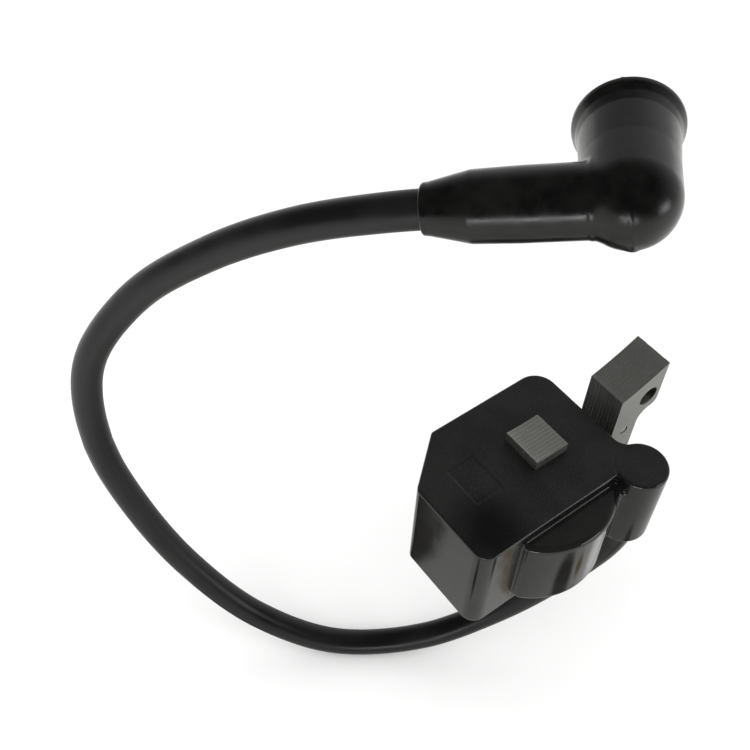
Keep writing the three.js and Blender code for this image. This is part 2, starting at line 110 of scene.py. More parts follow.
# core, in the same place
POLE = (1.9, 11.4)
LEG = (28.0, 41.9)
NECK = 36.5
YOKE_TOP, YOKE_BOTTOM = -28.7, -38.2
FLYWHEEL = {"x": 9.0, "z": 77.4, "radius": 75.0}
BOLT_X, BOLT_RADIUS = 37.9, 2.7
BOLT_HEIGHTS = (0.5, -33.5)
RIVETS = [(6.7, -33.5), (21.0, -33.5), (32.4, -8.6)]
RIVET_RADIUS, RIVET_SUNK = 1.2, 0.05
RIVET_END = [(0.0, 0.55), (0.05, 0.85), (0.25, 1.19)]  # distance from the tip, radius
PLATE_DRIFT, PLATE_PHASE = 0.02, 2.4
PLATE_SPREAD, PLATE_EDGE = 0.025, 0.02

# the lead, which starts below the tower's roof
LEAD_RADIUS = 3.5
LEAD_START = -4.0

# boot: X along the barrel from its lip, Y across it on the mouth's side
ELBOW = 33.75
BARREL = [(-1.0, 4.3), (0.0, 4.4), (1.2, 4.5), (8.3, 6.1), (16.0, 6.3), (ELBOW, 6.3)]
BALL_RADIUS = 8.2
HEAD = [(0.0, 8.2), (8.0, 8.25), (15.4, 8.6), (17.4, 9.0), (19.0, 9.62), (20.0, 9.75)]
RIM, RIM_EDGE = 20.7, 1.3
COLLAR = {"height": 0.14, "width": 0.35, "back": 6.1}
GATE = {"height": 0.35, "spread": 0.8, "off": 5.6}
PART_LINE = {"height": 0.07, "width": 0.3, "lean": 0.08}
PLUG_BORE, BORE_FLOOR = 5.6, -3.5
MOUTH_FLARE = {"depth": 2.2, "width": 1.3}
LEAD_GAP, PAST_LIP = 0.1, 5.0
BOOT_SOFT = {"lip": 0.6, "elbow": 0.9, "bore_floor": 2.0, "lead": 0.4, "mouth": 0.8}

# what gloss sees of the floor, which lies just under the part: its colour near and far, and round
# spots (x, y, radius) about the housing that stand for unseen things around the photographed coil
# the near and far colours and the spots are painted reflections: glossy rays see them on the walls
FLOOR_GAP = 0.3
GLOSS_NEAR, GLOSS_FAR = (0.6, 0.6, 0.58), (1.0, 1.0, 0.98)
GLOSS_DARK, GLOSS_BROWN = (0.07, 0.065, 0.06), (0.3, 0.22, 0.13)
DARK_SPOTS = [(-66, 48, 9), (-60, 38, 6), (-53, 36, 8), (-34, 34, 12), (-70, -25, 9), (16, -64, 13)]
BROWN_SPOTS = [(30, -48, 4), (26, -44, 4), (22, -40, 4), (37, -57, 5)]
BRIGHT_SPOTS = [(56, -38, 11)]

# strength of the dome's light, and of the room that gloss sees in its place: dark, and pale
# where a direction's share of ROOM_WAY is above the range
DOME = 1.05
ROOM_PALE, ROOM_DARK = 0.75, 0.03
ROOM_WAY, ROOM_RANGE = (0.8, 0.3, -0.5), (-0.24, 0.7)
LAMP_DISTANCE = 0.9  # metres

# ---------------------------------------------------------------- places taken from the frame

house_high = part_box("coil_housing")[1]
BLOCK = Vector((
    house_high.x / MM - TOWER_X - TOWER_RADIUS,
    house_high.y / MM - HALF_Y,
    house_high.z / MM,
))
joints = {joint["name"]: joint for joint in frame["joints"]}
lip = Vector(joints["boot_swivel"]["pos_m"]) / MM
barrel_way = Vector(joints["boot_swivel"]["axis"]).normalized()
mouth_way = Vector((0.708, 0.707, -0.042)).normalized()
mouth_lean = math.asin(-mouth_way.dot(barrel_way))
square_way = (mouth_way - mouth_way.dot(barrel_way) * barrel_way).normalized()
across_way = barrel_way.cross(square_way)

BLOCK_PLACE = Matrix.Translation(BLOCK)
BOOT_TURN = Matrix((barrel_way, square_way, across_way)).transposed().to_4x4()
ON_BOOT = {"place": Matrix.Translation(lip) @ BOOT_TURN, "body": "spark_plug_boot"}


# ---------------------------------------------------------------- outlines

def rounded(corners, steps_per_turn=96):
    """A closed outline from corners with a radius each: (x, y, radius)."""
    points = []
    count = len(corners)
    for i, (x, y, radius) in enumerate(corners):
        here = np.array([x, y])
        before = np.array(corners[i - 1][:2]) - here
        after = np.array(corners[(i + 1) % count][:2]) - here
        before = before / np.linalg.norm(before)
        after = after / np.linalg.norm(after)
        if radius == 0:
            points.append(here)
            continue
        half = math.acos(np.clip(before @ after, -1, 1)) / 2
        middle = before + after
        centre = here + middle / np.linalg.norm(middle) * radius / math.sin(half)
        start = here + before * radius / math.tan(half) - centre
        turn = math.pi - 2 * half
        side = np.sign(before[1] * after[0] - before[0] * after[1])
        steps = max(2, round(steps_per_turn * turn / (2 * math.pi)))
        for angle in side * np.linspace(0, turn, steps + 1):
            c, s = math.cos(angle), math.sin(angle)
            points.append(centre + [c * start[0] - s * start[1], s * start[0] + c * start[1]])
    return np.array(points)


def tower_web():
    """Web between the right wall and the tower, with one concave arc tangent to both."""
    centre_x = HALF_X + TOWER_FILLET
    reach = TOWER_RADIUS + TOWER_FILLET
    centre_y = TOWER_Y + math.sqrt(reach ** 2 - (centre_x - TOWER_X) ** 2)
    last = math.atan2(TOWER_Y - centre_y, TOWER_X - centre_x)
    angles = np.linspace(-math.pi, last, 16)
    arc = [(centre_x + TOWER_FILLET * math.cos(a), centre_y + TOWER_FILLET * math.sin(a)) for a in angles]
    return np.array([(HALF_X - WALL, TOWER_Y), (HALF_X - WALL, centre_y), *arc])


def flywheel_arc(first, last, steps=12):
    """Points of the concave pole faces, from one X to another."""
    xs = np.linspace(first, last, steps + 1)
    heights = FLYWHEEL["z"] - np.sqrt(FLYWHEEL["radius"] ** 2 - (xs - FLYWHEEL["x"]) ** 2)
    return [(x, z, 0) for x, z in zip(xs, heights)]


def lamination_outline():
    """The U of one plate: the coil's leg, the yoke, and the outer leg with its two ears."""
    ear, bend = 4.9, 3.8
    upper, lower = BOLT_HEIGHTS
    return rounded([
        (POLE[0], YOKE_BOTTOM, 2.0),
        (LEG[1], YOKE_BOTTOM, 2.0),
        (LEG[1], lower + ear, 2.0),
        (NECK, lower + ear, bend),
        (NECK, upper - ear, bend),
        (LEG[1], upper - ear, 2.0),
        *reversed(flywheel_arc(*LEG)),
        (LEG[0], YOKE_TOP, 0.3),
        (POLE[1], YOKE_TOP, 0.3),
        *reversed(flywheel_arc(*POLE)),
    ])


# ---------------------------------------------------------------- distance fields

def outline_distance(points, x, y):
    """Distance to a closed outline, negative inside."""
    shape = np.broadcast(x, y).shape
    nearest = np.full(shape, np.inf, np.float32)
    inside = np.zeros(shape, bool)
    for (ax, ay), (bx, by) in zip(points, np.roll(points, -1, 0)):
        ex, ey = bx - ax, by - ay
        along = np.clip(((x - ax) * ex + (y - ay) * ey) / (ex * ex + ey * ey), 0, 1)
        nearest = np.minimum(nearest, (x - ax - along * ex) ** 2 + (y - ay - along * ey) ** 2)
        if ay != by:
            inside ^= ((ay > y) != (by > y)) & (x < ax + (y - ay) * ex / ey)
    return np.where(inside, -1, 1) * np.sqrt(nearest)


def slab(flat, z, bottom, top, edge):
    """A flat distance filled from bottom to top, with rounded rims."""
    side = flat + edge
    end = np.abs(z - (bottom + top) / 2) - (top - bottom) / 2 + edge
    outside = np.hypot(np.maximum(side, 0), np.maximum(end, 0))
    return outside + np.minimum(np.maximum(side, end), 0) - edge


def joined(a, b, fillet):
    """Both shapes, with a soft fillet where they meet."""
    share = np.maximum(fillet - np.abs(a - b), 0) / fillet
    return np.minimum(a, b) - share * share * fillet / 4


def cut(a, b, edge):
    """The first shape without the second, with a soft edge."""
    return -joined(-a, b, edge)


def ring(x, y, centre_x, centre_y, radius):
    """Distance to a circle, negative inside."""
    return np.hypot(x - centre_x, y - centre_y) - radius


def crown_outline(x, y):
    """The near wall's bulge: a circle cut off flat on its left."""
    return cut(ring(x, y, CROWN_X, CROWN_Y, CROWN_RADIUS), x - CROWN_LEFT, CROWN_CORNER)


def rectangle(x, y, centre_x, centre_y, half_x, half_y):
    """Distance to a rectangle, negative inside."""
    dx, dy = np.abs(x - centre_x) - half_x, np.abs(y - centre_y) - half_y
    return np.hypot(np.maximum(dx, 0), np.maximum(dy, 0)) + np.minimum(np.maximum(dx, dy), 0)


# ---------------------------------------------------------------- meshes

def surface_net(field, low, step):
    """Quads over a sampled field's zero level, with one vertex in each crossed cell."""
    inside = field < 0
    cells = np.array(field.shape) - 1
    units = np.eye(3, dtype=int)
    quads, crossings = [], []
    for axis in range(3):
        count = field.shape[axis]
        changed = np.take(inside, range(count - 1), axis) != np.take(inside, range(1, count), axis)
        near = np.argwhere(changed)
        ahead, u, v = np.roll(units, -axis, 0)
        first = field[tuple(near.T)].astype(float)
        second = field[tuple((near + ahead).T)].astype(float)
        points = near + (first / (first - second))[:, None] * ahead
        around = [near, near - u, near - u - v, near - v]
        quad = np.stack([np.ravel_multi_index(tuple(cell.T), cells) for cell in around], 1)
        quad[first > 0] = quad[first > 0][:, ::-1]
        quads.append(quad)
        crossings.append(points)
    quads = np.concatenate(quads)
    crossings = np.repeat(np.concatenate(crossings), 4, 0)
    _, index = np.unique(quads, return_inverse=True)
    index = index.ravel()
    count = np.bincount(index)
    middle = np.stack([np.bincount(index, crossings[:, i]) / count for i in range(3)], 1)
    return middle * step + low, index.reshape(-1, 4)


def settled(shape, points, reach):
    """Points moved onto the shape's surface, by at most reach."""
    probe, flattest = 0.02, 0.25
    value = shape(*points.T)
    steps = np.eye(3) * probe
    slope = np.stack([shape(*(points + s).T) - shape(*(points - s).T) for s in steps], 1) / (2 * probe)
    size = np.maximum((slope ** 2).sum(1), flattest)
    move = np.clip(value / size, -reach, reach)
    return points - move[:, None] * slope


def piece(name, points, faces, place=Matrix.Identity(4), body="coil_module", slot=None):
    """A mesh object from points in mm, riding on a body."""
    turn = np.array(place)
    placed = (np.asarray(points, float) @ turn[:3, :3].T + turn[:3, 3]) * MM
    if isinstance(faces, np.ndarray):
        faces = faces.tolist()
    mesh = bpy.data.meshes.new(name)
    mesh.from_pydata(placed.tolist(), [], faces)
    mesh.update()
    mesh.polygons.foreach_set("use_smooth", [True] * len(mesh.polygons))
    made = bpy.data.objects.new(name, mesh)
    bpy.context.scene.collection.objects.link(made)
    if body:
        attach(made, body)
    if slot:
        mesh.materials.append(materials[slot])
    return made


def moulded(name, shape, low, high, step, **kept):
    """A piece drawn over a distance field, on a grid whose planes miss the flat walls."""
    before, after = 1.63 * step, 2.5 * step
    axes = [np.arange(a - before, b + after, step, dtype=np.float32) for a, b in zip(low, high)]
    x, y, z = axes[0][:, None, None], axes[1][None, :, None], axes[2][None, None, :]
    field = np.ascontiguousarray(np.broadcast_to(shape(x, y, z), [len(a) for a in axes]), np.float32)
    corner = np.array([a[0] for a in axes], float)
    points, quads = surface_net(field, corner, step)
    return piece(name, settled(shape, points, step / 2), quads, **kept)


def swept(path, radii, sides=32):
    """Points and faces of a round bar along a path, with closed ends."""
    path = np.asarray(path, float)
    ways = np.gradient(path, axis=0)
    ways /= np.linalg.norm(ways, axis=1)[:, None]
    skew = [0.3, 0.5, 0.8]
    normal = np.cross(ways[0], skew)
    rings = []
    angles = np.arange(sides) / sides * 2 * math.pi
    for point, way, radius in zip(path, ways, np.broadcast_to(radii, len(path))):
        normal = normal - way * (normal @ way)
        normal /= np.linalg.norm(normal)
        other = np.cross(way, normal)
        circle_points = np.outer(np.cos(angles), normal) + np.outer(np.sin(angles), other)
        rings.append(point + radius * circle_points)
    faces = []
    for start in range(0, (len(path) - 1) * sides, sides):
        for j in range(sides):
            k = (j + 1) % sides
            faces.append([start + j, start + k, start + sides + k, start + sides + j])
    last = (len(path) - 1) * sides
    faces.append(list(range(sides - 1, -1, -1)))
    faces.append(list(range(last, last + sides)))
    return np.concatenate(rings), faces


def sheet(name, outlines, thickness, edge, place, **kept):
    """A flat plate in X and Y with holes and softened edges, thickness about its middle."""
    curve = bpy.data.curves.new(name, "CURVE")
    curve.dimensions = "2D"
    curve.fill_mode = "BOTH"
    curve.extrude = thickness / 2 - edge
    curve.bevel_depth = edge
    curve.bevel_resolution = 1
    curve.offset = -edge
    for outline in outlines:
        count = len(outline)
        spline = curve.splines.new("POLY")
        spline.points.add(count - 1)
        corners = np.hstack([outline, np.zeros((count, 1)), np.ones((count, 1))])
        spline.points.foreach_set("co", corners.ravel())
        spline.use_cyclic_u = True
    holder = bpy.data.objects.new(name + "_curve", curve)
    bpy.context.scene.collection.objects.link(holder)
    bpy.context.view_layer.update()
    flat = bpy.data.meshes.new_from_object(holder.evaluated_get(bpy.context.evaluated_depsgraph_get()))
    points = [v.co[:] for v in flat.vertices]
    faces = [list(p.vertices) for p in flat.polygons]
    bpy.data.objects.remove(holder)
    bpy.data.curves.remove(curve)
    bpy.data.meshes.remove(flat)
    made = piece(name, points, faces, place, **kept)
    made.data.set_sharp_from_angle(angle=math.radians(35))
    return made


# ---------------------------------------------------------------- materials

class Paint:
    """Builds one procedural material, whose noises are in the frame's coordinates."""

    def __init__(self, name, metallic=0.0):
        self.material = bpy.data.materials.new("finish_" + name)
        self.material.use_nodes = True
        self.nodes = self.material.node_tree.nodes
        self.links = self.material.node_tree.links
        self.surface = self.nodes["Principled BSDF"]
        self.surface.inputs["Metallic"].default_value = metallic
        self.place = self.nodes.new("ShaderNodeTexCoord").outputs["Object"]
        self.normal = None

    def link(self, value, socket):
        """Feeds a socket from another socket or with a fixed value."""
        if isinstance(value, bpy.types.NodeSocket):
            self.links.new(value, socket)
        else:
            socket.default_value = value

    def noise(self, size, detail=3.0, roughness=0.5, stretch=(1, 1, 1)):
        """Noise whose features are about size mm across, from about 0.3 to 0.7."""
        scaled = self.nodes.new("ShaderNodeMapping")
        scaled.inputs["Scale"].default_value = stretch
        self.link(self.place, scaled.inputs["Vector"])
        made = self.nodes.new("ShaderNodeTexNoise")
        made.inputs["Scale"].default_value = 1 / (size * MM)
        made.inputs["Detail"].default_value = detail
        made.inputs["Roughness"].default_value = roughness
        self.link(scaled.outputs["Vector"], made.inputs["Vector"])
        return made.outputs["Fac"]

    def fit(self, value, low, high, to_low, to_high):
        """The value, moved smoothly from one range to another."""
        made = self.nodes.new("ShaderNodeMapRange")
        made.interpolation_type = "SMOOTHSTEP"
        for socket, number in zip(list(made.inputs)[1:5], (low, high, to_low, to_high)):
            socket.default_value = number
        self.link(value, made.inputs["Value"])
        return made.outputs["Result"]

    def spread(self, noise, to_low=0.0, to_high=1.0):
        """A noise's usual values, 0.3 to 0.7, moved to another range."""
        return self.fit(noise, 0.3, 0.7, to_low, to_high)

    def shade(self, value, socket):
        """Feeds a colour socket from another socket or with three numbers."""
        self.link(value if isinstance(value, bpy.types.NodeSocket) else (*value, 1.0), socket)

    def math(self, operation, a, b=0.0):
        """The result of one sum on numbers or sockets."""
        made = self.nodes.new("ShaderNodeMath")
        made.operation = operation
        self.link(a, made.inputs[0])
        self.link(b, made.inputs[1])
        return made.outputs[0]

    def mix(self, share, a, b):
        """Colour a where the share is 0, and b where it is 1."""
        made = self.nodes.new("ShaderNodeMix")
        made.data_type = "RGBA"
        self.link(share, made.inputs["Factor"])
        self.shade(a, made.inputs["A"])
        self.shade(b, made.inputs["B"])
        return made.outputs["Result"]

    def spot(self, x, y, inner, outer):
        """1 within inner mm of a point given from the housing's top, fading to 0 at outer mm."""
        centre = (Vector((x, y, 0)) + BLOCK) * MM
        flat = self.nodes.new("ShaderNodeVectorMath")
        flat.operation = "MULTIPLY"
        flat.inputs[1].default_value = (1, 1, 0)
        self.link(self.place, flat.inputs[0])
        gap = self.nodes.new("ShaderNodeVectorMath")
        gap.operation = "DISTANCE"
        gap.inputs[1].default_value = (centre.x, centre.y, 0)
        self.link(flat.outputs["Vector"], gap.inputs[0])
        return self.fit(gap.outputs["Value"], inner * MM, outer * MM, 1.0, 0.0)

    def above(self, low, high):
        """0 below low mm from the housing's top, rising to 1 at high mm."""
        made = self.nodes.new("ShaderNodeSeparateXYZ")
        self.link(self.place, made.inputs[0])
        return self.fit(made.outputs["Z"], (low + BLOCK.z) * MM, (high + BLOCK.z) * MM, 0.0, 1.0)

    def facing(self, axis):
        """How much the surface faces along an axis of the frame, from -1 to 1."""
        way = self.nodes.new("ShaderNodeTexCoord").outputs["Normal"]
        made = self.nodes.new("ShaderNodeVectorMath")
        made.operation = "DOT_PRODUCT"
        made.inputs[1].default_value = axis
        self.link(way, made.inputs[0])
        return made.outputs["Value"]

    def edges(self, low=0.52, high=0.6):
        """A share that is high on sharp outer edges: wear, and on the housing partly a painted highlight."""
        sharp = self.nodes.new("ShaderNodeNewGeometry").outputs["Pointiness"]
        return self.fit(sharp, low, high, 0.0, 1.0)

    def bump(self, height, depth, strength=1.0):
        """Adds a relief that is depth mm deep."""
        made = self.nodes.new("ShaderNodeBump")
        made.inputs["Distance"].default_value = depth * MM
        self.link(strength, made.inputs["Strength"])
        self.link(height, made.inputs["Height"])
        if self.normal:
            self.link(self.normal, made.inputs["Normal"])
        self.normal = made.outputs["Normal"]
        self.link(self.normal, self.surface.inputs["Normal"])

    def finish(self, colour, roughness, specular=0.5):
        """Feeds the surface and gives the material back."""
        self.shade(colour, self.surface.inputs["Base Color"])
        self.link(roughness, self.surface.inputs["Roughness"])
        self.link(specular, self.surface.inputs["Specular IOR Level"])
        return self.material


def housing_plastic():
    """Near-black thermoplastic: grained top, rubbed darker in one place, and polished walls."""
    paint = Paint("housing_plastic")
    up = paint.fit(paint.facing((0, 0, 1)), 0.6, 0.95, 0.0, 1.0)
    up = paint.math("MULTIPLY", up, paint.above(-2.0, -1.0))
    cloud = paint.noise(9.0, 4.0)
    flow = paint.noise(5.0, 2.0, stretch=(1, 1, 0.6))
    grain = paint.noise(0.3, 2.0)
    dust = paint.noise(0.5, 4.0, 0.65)
    clouded = paint.fit(cloud, 0.35, 0.65, 0, 1)
    colour = paint.mix(clouded, (0.0048, 0.005, 0.0049), (0.0085, 0.0085, 0.008))
    speck = paint.math("MULTIPLY", paint.fit(grain, 0.5, 0.72, 0.0, 0.55), up)
    colour = paint.mix(speck, colour, (0.026, 0.026, 0.025))
    colour = paint.mix(paint.fit(dust, 0.66, 0.78, 0.0, 0.3), colour, (0.09, 0.088, 0.082))
    # lighter sharp edges: partly wear, partly a painted highlight along the rounded top edges
    colour = paint.mix(paint.math("MULTIPLY", paint.edges(), 0.3), colour, (0.09, 0.09, 0.086))
    top = paint.math("MULTIPLY", paint.spread(cloud, 0.42, 0.56), up)
    wall = paint.math("MULTIPLY", paint.spread(cloud, 0.07, 0.13), paint.math("SUBTRACT", 1.0, up))
    rough = paint.math("ADD", top, wall)
    rubbed = paint.math("MULTIPLY", paint.spot(-16.0, -11.0, 2.0, 13.0), up)
    colour = paint.mix(paint.math("MULTIPLY", rubbed, 0.7), colour, (0.0025, 0.0025, 0.0025))
    specular = paint.math("SUBTRACT", 0.34, paint.math("MULTIPLY", rubbed, 0.28))
    paint.bump(grain, 0.035, up)
    paint.bump(flow, 0.06, 0.5)
    return paint.finish(colour, rough, specular)


def potting_epoxy():
    """Dark brown casting resin with slow swells and a few pinholes."""
    paint = Paint("potting_epoxy")
    swell = paint.noise(7.0, 2.0)
    fine = paint.noise(0.5, 3.0)
    colour = paint.mix(swell, (0.018, 0.014, 0.011), (0.04, 0.031, 0.024))
    paint.bump(swell, 0.25, 0.8)
    paint.bump(paint.fit(fine, 0.68, 0.74, 0.0, -1.0), 0.1)
    return paint.finish(colour, paint.spread(fine, 0.16, 0.3))


def core_steel():
    """Punched silicon steel: dull pole faces, speckled sheet faces, and painted shade on the cut faces that face
    along X.
    """
    paint = Paint("core_steel", metallic=0.85)
    up = paint.fit(paint.facing((0, 0, 1)), 0.7, 0.95, 0.0, 1.0)
    cloud = paint.noise(5.0, 5.0)
    speck = paint.noise(0.3, 3.0)
    scratch = paint.noise(0.35, 2.0, stretch=(0.15, 1.6, 1))
    side = paint.mix(paint.spread(cloud), (0.17, 0.17, 0.158), (0.24, 0.24, 0.223))
    side = paint.mix(paint.fit(speck, 0.6, 0.75, 0.0, 0.6), side, (0.11, 0.1, 0.085))
    ground = paint.mix(paint.fit(scratch, 0.35, 0.65, 0, 1), (0.235, 0.235, 0.22), (0.27, 0.27, 0.25))
    # painted shade: faces that face along X are darkened, as the leg's side is shaded by the housing
    sideways = paint.math("ABSOLUTE", paint.facing((1, 0, 0)))
    across = paint.fit(sideways, 0.5, 0.9, 0.0, 0.75)
    side = paint.mix(across, side, (0.03, 0.03, 0.028))
    colour = paint.mix(up, side, ground)
    colour = paint.mix(paint.math("MULTIPLY", paint.edges(0.53, 0.62), 0.25), colour, (0.4, 0.4, 0.38))
    paint.bump(speck, 0.02)
    paint.bump(scratch, 0.012, up)
    return paint.finish(colour, paint.spread(cloud, 0.34, 0.5))


def rivet_steel():
    """Peened steel, dented by the riveting tool."""
    paint = Paint("rivet_steel", metallic=0.85)
    dents = paint.noise(0.6, 2.0)
    colour = paint.mix(dents, (0.16, 0.16, 0.15), (0.34, 0.34, 0.32))
    paint.bump(dents, 0.08)
    return paint.finish(colour, paint.spread(dents, 0.3, 0.5))


def bobbin_nylon():
    """Natural nylon, slightly yellowed and milky."""
    paint = Paint("bobbin_nylon")
    cloud = paint.noise(5.0, 3.0)
    colour = paint.mix(cloud, (0.52, 0.47, 0.35), (0.68, 0.63, 0.5))
    paint.bump(paint.noise(0.4, 2.0), 0.02)
    return paint.finish(colour, paint.spread(cloud, 0.35, 0.5))


def enamelled_copper():
    """Fine enamelled wire around the leg, in turns stacked along Z."""
    paint = Paint("enamelled_copper", metallic=0.6)
    wave = paint.nodes.new("ShaderNodeTexWave")
    wave.bands_direction = "Z"
    wave.inputs["Scale"].default_value = 1 / (0.5 * MM) / math.pi
    wave.inputs["Distortion"].default_value = 0.6
    paint.link(paint.place, wave.inputs["Vector"])
    turns = wave.outputs["Fac"]
    colour = paint.mix(turns, (0.16, 0.045, 0.015), (0.5, 0.2, 0.07))
    paint.bump(turns, 0.08)
    return paint.finish(colour, paint.spread(paint.noise(3.0), 0.25, 0.4))


def board_laminate():
    """Glass-epoxy laminate with the faint weave of its cloth."""
    paint = Paint("board_laminate")
    warp = paint.noise(0.5, 1.0, stretch=(1, 0.1, 1))
    weft = paint.noise(0.5, 1.0, stretch=(1, 1, 0.1))
    weave = paint.math("MULTIPLY", warp, weft)
    colour = paint.mix(weave, (0.02, 0.09, 0.03), (0.07, 0.2, 0.08))
    paint.bump(weave, 0.02)
    return paint.finish(colour, paint.fit(weave, 0.1, 0.4, 0.3, 0.5))


def component_plastic():
    """Black moulding compound with a fine matte grain."""
    paint = Paint("component_plastic")
    grain = paint.noise(0.12, 2.0)
    colour = paint.mix(grain, (0.015, 0.015, 0.016), (0.04, 0.04, 0.042))
    paint.bump(grain, 0.02)
    return paint.finish(colour, paint.spread(grain, 0.5, 0.7))


def dipped(name, dark, light):
    """Thick dipped paint with an orange-peel skin."""
    paint = Paint(name)
    peel = paint.noise(0.8, 2.0)
    paint.bump(peel, 0.05)
    return paint.finish(paint.mix(peel, dark, light), paint.spread(peel, 0.25, 0.4))


def tinned_brass():
    """Brass sheet under dull tin that is worn through at its edges."""
    paint = Paint("tinned_brass", metallic=0.9)
    rolled = paint.noise(0.3, 3.0, stretch=(1, 1, 0.08))
    uneven = paint.fit(paint.noise(1.2), 0.35, 0.6, 0.2, 1.0)
    worn = paint.math("MULTIPLY", paint.edges(0.51, 0.56), uneven)
    tin = paint.mix(rolled, (0.42, 0.41, 0.39), (0.6, 0.59, 0.56))
    paint.bump(rolled, 0.01)
    return paint.finish(paint.mix(worn, tin, (0.6, 0.42, 0.16)), paint.spread(rolled, 0.28, 0.42))


def lead_pvc():
    """Extruded black jacket: a satin, slightly uneven skin with a trace of dust."""
    paint = Paint("lead_pvc")
    dust = paint.noise(0.25, 4.0, 0.6)
    cloud = paint.noise(14.0, 3.0)
    colour = paint.mix(paint.spread(cloud), (0.0035, 0.0035, 0.0037), (0.007, 0.007, 0.0071))
    colour = paint.mix(paint.fit(dust, 0.66, 0.8, 0.0, 0.5), colour, (0.07, 0.07, 0.067))
    paint.bump(paint.noise(1.3, 3.0), 0.018, 0.7)
    return paint.finish(colour, paint.spread(cloud, 0.3, 0.42), 0.27)


def conductor_copper():
    """Tinned copper strands, laid with a twist."""
    paint = Paint("conductor_copper", metallic=0.95)
    strands = paint.noise(0.2, 1.0, stretch=(1, 1, 0.2))
    paint.bump(strands, 0.05)
    return paint.finish(paint.mix(strands, (0.42, 0.2, 0.09), (0.62, 0.44, 0.3)), 0.35)


def boot_rubber():
    """Compression-moulded rubber: semi-gloss, slightly mottled, with a bloom in places."""
    paint = Paint("boot_rubber")
    mottle = paint.noise(2.6, 4.0)
    fine = paint.noise(0.3, 3.0)
    bloom = paint.fit(paint.noise(12.0, 3.0), 0.45, 0.75, 0.0, 1.0)
    mottled = paint.spread(mottle)
    colour = paint.mix(mottled, (0.002, 0.002, 0.0019), (0.0042, 0.0041, 0.0038))
    colour = paint.mix(paint.math("MULTIPLY", bloom, 0.35), colour, (0.011, 0.011, 0.0105))
    colour = paint.mix(paint.fit(fine, 0.7, 0.8, 0.0, 0.4), colour, (0.05, 0.05, 0.047))
    paint.bump(mottle, 0.03, 0.6)
    paint.bump(fine, 0.012)
    return paint.finish(colour, paint.spread(mottle, 0.2, 0.27), 0.28)


def spring_steel():
    """Bright drawn wire with fine draw marks."""
    paint = Paint("spring_steel", metallic=1.0)
    drawn = paint.noise(0.2, 2.0)
    paint.bump(drawn, 0.01)
    colour = paint.mix(drawn, (0.4, 0.4, 0.4), (0.62, 0.62, 0.63))
    return paint.finish(colour, paint.spread(drawn, 0.2, 0.35))


finishes = [
    housing_plastic(),
    potting_epoxy(),
    core_steel(),
    rivet_steel(),
    bobbin_nylon(),
    enamelled_copper(),
    board_laminate(),
    component_plastic(),
    dipped("resistor_paint", (0.1, 0.2, 0.3), (0.2, 0.38, 0.5)),
    dipped("capacitor_paint", (0.36, 0.1, 0.025), (0.58, 0.2, 0.06)),
    tinned_brass(),
    lead_pvc(),
    conductor_copper(),
    boot_rubber(),
    spring_steel(),
]
materials = {made.name.removeprefix("finish_"): made for made in finishes}


def dress_frame():
    """Gives every CAD node the finish that the record names for it."""
    slots = {sub["node"]: sub["material_slot"] for sub in frame["record"]["subparts"]}
    for name, node in frame["nodes"].items():
        for held in node.material_slots:
            held.link = "OBJECT"
            held.material = materials[slots[name]]


# ---------------------------------------------------------------- housing

HOUSE_OUTLINE = rounded(CORNERS)
WEB_OUTLINE = tower_web()
BELOW, ABOVE = -2 * HEIGHT, 2.0  # heights well clear of the housing
POLE_X = sum(POLE) / 2
STACK_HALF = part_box("core_lamination_11")[1].y / MM - BLOCK.y


def sleeve(x, y, gap):
    """Distance to the coil's leg, widened by a gap."""
    return rectangle(x, y, POLE_X, 0, (POLE[1] - POLE[0]) / 2 + gap, STACK_HALF + gap)


def housing_outside(walls, tower, crown, x, y, z):
    """The filled box with the tower at its corner and the bulge on its near wall."""
    seam = TOWER_SEAM["height"] * np.exp(-(tower / TOWER_SEAM["width"]) ** 2) * (z > -TOWER_SEAM["reach"])
    towered = np.minimum(np.minimum(walls, tower), outline_distance(WEB_OUTLINE, x, y))
    body = slab(walls, z, -HEIGHT, 0, TOP_EDGE)
    body = np.minimum(body, slab(towered, z, TOWER_BOTTOM, 0, TOP_EDGE)) + seam
    body = joined(body, slab(crown, z, CROWN_BOTTOM, CROWN_TOP, CROWN_EDGE), HOUSE_SOFT["crown"])
    groove = joined(crown, tower, GROOVE_FILLET)
    return np.minimum(body, slab(groove, z, TOWER_BOTTOM, CROWN_TOP, CROWN_EDGE))


def housing_hollow(walls, tower, crown, x, y, z):
    """The room for the windings: the box and the bulge inside their walls, without sleeve and tower."""
    pocket = slab(crown + WALL, z, CROWN_BOTTOM + WALL, CROWN_TOP - WALL, INNER_EDGE)
    hollow = np.minimum(slab(walls + WALL, z, BELOW, -ROOF, INNER_EDGE), pocket)
    hollow = np.maximum(hollow, -sleeve(x, y, SLEEVE_GAP))
    return np.maximum(hollow, -tower)


def lead_passage(x, y, z):
    """The bore that the lead enters, widened to a funnel at the tower's open end."""
    heights = [TOWER_BOTTOM - 1, TOWER_BOTTOM + FUNNEL["depth"]]
    flare = np.interp(z, heights, [FUNNEL["width"], FUNNEL["gap"]])
    bore = ring(x, y, TOWER_X, TOWER_Y, LEAD_RADIUS) - flare
    return slab(bore, z, BELOW, -TOWER_ROOF, HOUSE_SOFT["end"])


def housing_shape(x, y, z):
    """The open-bottomed box with its bulge, tower, pole slot and shallow recess."""
    walls = outline_distance(HOUSE_OUTLINE, x, y)
    tower = ring(x, y, TOWER_X, TOWER_Y, TOWER_RADIUS)
    crown = crown_outline(x, y)
    body = housing_outside(walls, tower, crown, x, y, z)
    body = np.maximum(body, -housing_hollow(walls, tower, crown, x, y, z))
    body = cut(body, lead_passage(x, y, z), HOUSE_SOFT["funnel"])
    body = cut(body, sleeve(x, y, SLOT_GAP), HOUSE_SOFT["slot"])
    panel = rectangle(x, y, RECESS["x"], RECESS["y"], RECESS["half_x"], RECESS["half_y"])
    panel = slab(panel, z, -RECESS["depth"], ABOVE, HOUSE_SOFT["end"])
    return cut(body, panel, HOUSE_SOFT["recess"])


